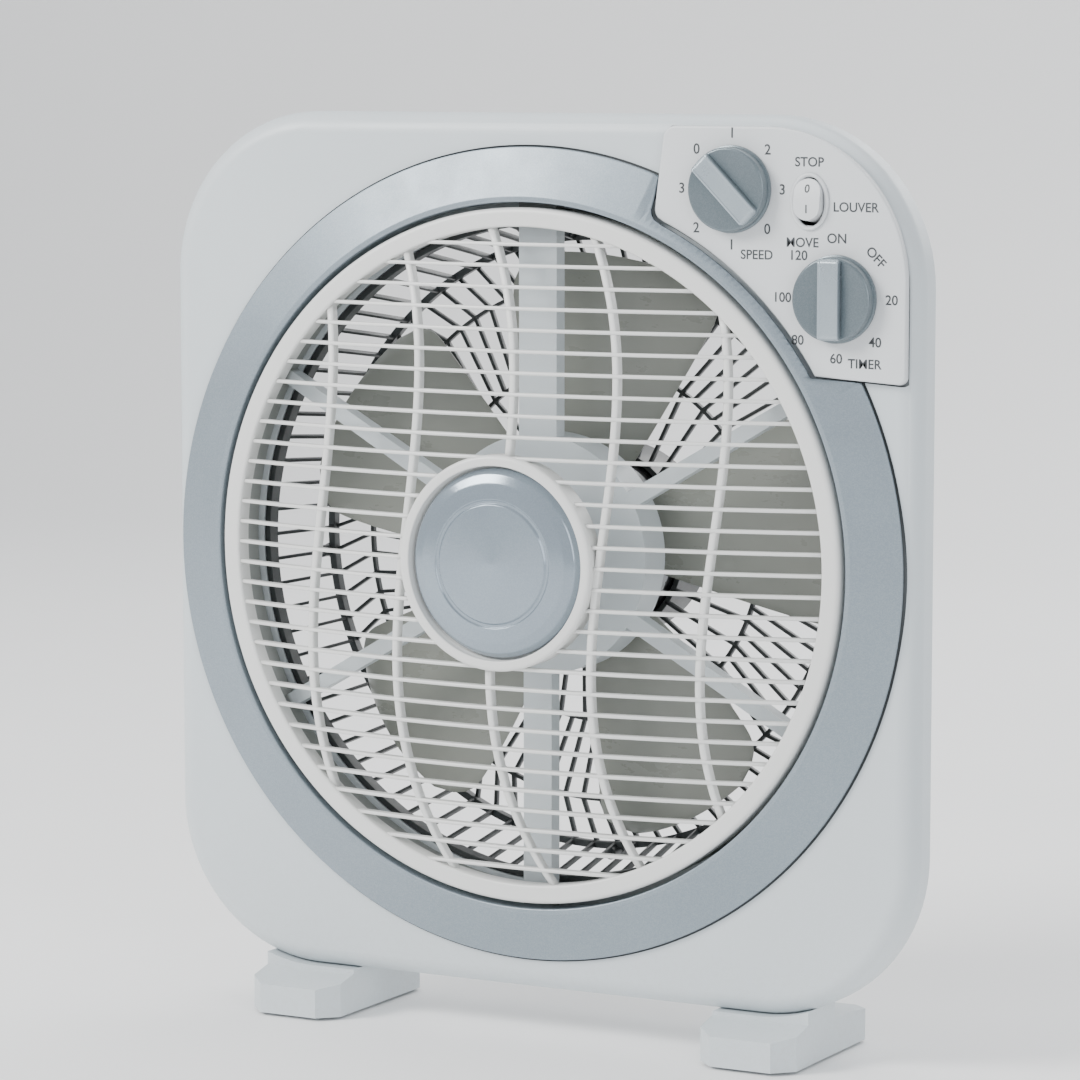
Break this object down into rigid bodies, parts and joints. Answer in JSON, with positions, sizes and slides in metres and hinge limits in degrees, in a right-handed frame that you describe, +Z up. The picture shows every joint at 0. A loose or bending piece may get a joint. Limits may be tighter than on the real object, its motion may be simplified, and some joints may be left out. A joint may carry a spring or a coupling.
{
  "type": "box fan",
  "caption": "Box fan in a square housing on two feet, with a rotating louver grille, broad blades, speed and timer knobs and a louver rocker.",
  "frame": {"origin": "on the floor, under the middle of the whole object", "axes": "+Z up, -Y out of the front grille toward the user, +X to the right as the user sees the front"},
  "size_m": [0.396, 0.135, 0.4375],
  "materials": {
    "housing_plastic": "fine matt texture, light grey",
    "panel_plastic": "smooth satin, light grey",
    "trim_silver": "silver-grey painted plastic",
    "grille_plastic": "satin light grey",
    "cap_plastic": "glossy blue-grey",
    "blade_plastic": "semi-translucent smoke grey",
    "guard_plastic": "charcoal",
    "knob_plastic": "satin blue-grey",
    "case_plastic": "cream moulded plastic",
    "black_plastic": "black moulded plastic",
    "steel": "zinc-plated steel",
    "lamination": "varnished steel laminations",
    "copper": "enamelled copper wire",
    "bronze": "sintered bronze",
    "rubber": "soft rubber",
    "wire_insulation": "vinyl insulation"
  },
  "bodies": {
    "housing": {"front_housing": "housing_plastic", "trim_ring": "trim_silver", "control_panel": "panel_plastic", "louver_spider": "housing_plastic", "louver_motor": "steel", "louver_motor_cover": "housing_plastic", "back_cover": "housing_plastic", "guard_skirt": "guard_plastic", "rear_grille": "guard_plastic", "motor_front_cover": "steel", "motor_rear_cover": "steel", "stator_core": "lamination", "stator_windings": "copper", "front_bush": "bronze", "rear_bush": "bronze", "speed_switch": "case_plastic", "timer_mechanism": "steel", "rocker_switch": "black_plastic", "run_capacitor": "case_plastic", "terminal_block": "case_plastic", "wire_harness": "wire_insulation", "cord_inlet": "rubber", "left_foot": "housing_plastic", "right_foot": "housing_plastic", "foot_pads": "rubber", "housing_screws": "steel", "spider_screws": "steel", "cover_screws": "steel", "motor_screws": "steel", "grille_screws": "steel", "panel_screws": "steel", "foot_screws": "steel"},
    "louver": {"louver_grille": "grille_plastic", "hub_cap": "cap_plastic", "louver_shaft": "steel"},
    "rotor": {"fan_blade": "blade_plastic", "blade_nut": "black_plastic", "drive_pin": "steel", "motor_shaft": "steel", "rotor_core": "lamination"},
    "speed_dial": {"speed_knob": "knob_plastic", "speed_spindle": "steel"},
    "timer_dial": {"timer_knob": "knob_plastic", "timer_spindle": "steel"},
    "rocker": {"louver_rocker": "panel_plastic"}
  },
  "joints": [
    {"name": "fan_spin", "type": "hinge", "parent": "housing", "child": "rotor", "pos_m": [0, 0, 0.23], "axis": [0, 1, 0], "continuous": true},
    {"name": "louver_spin", "type": "hinge", "parent": "housing", "child": "louver", "pos_m": [0, 0, 0.23], "axis": [0, 1, 0], "continuous": true},
    {"name": "speed_turn", "type": "hinge", "parent": "housing", "child": "speed_dial", "pos_m": [0.107, -0.0315, 0.404], "axis": [0, 1, 0], "continuous": true},
    {"name": "timer_turn", "type": "hinge", "parent": "housing", "child": "timer_dial", "pos_m": [0.1595, -0.0315, 0.3555], "axis": [0, 1, 0], "range_deg": [0, 315]},
    {"name": "rocker_tip", "type": "hinge", "parent": "housing", "child": "rocker", "pos_m": [0.146, -0.0285, 0.399], "axis": [1, 0, 0], "range_deg": [0, 14]}
  ]
}
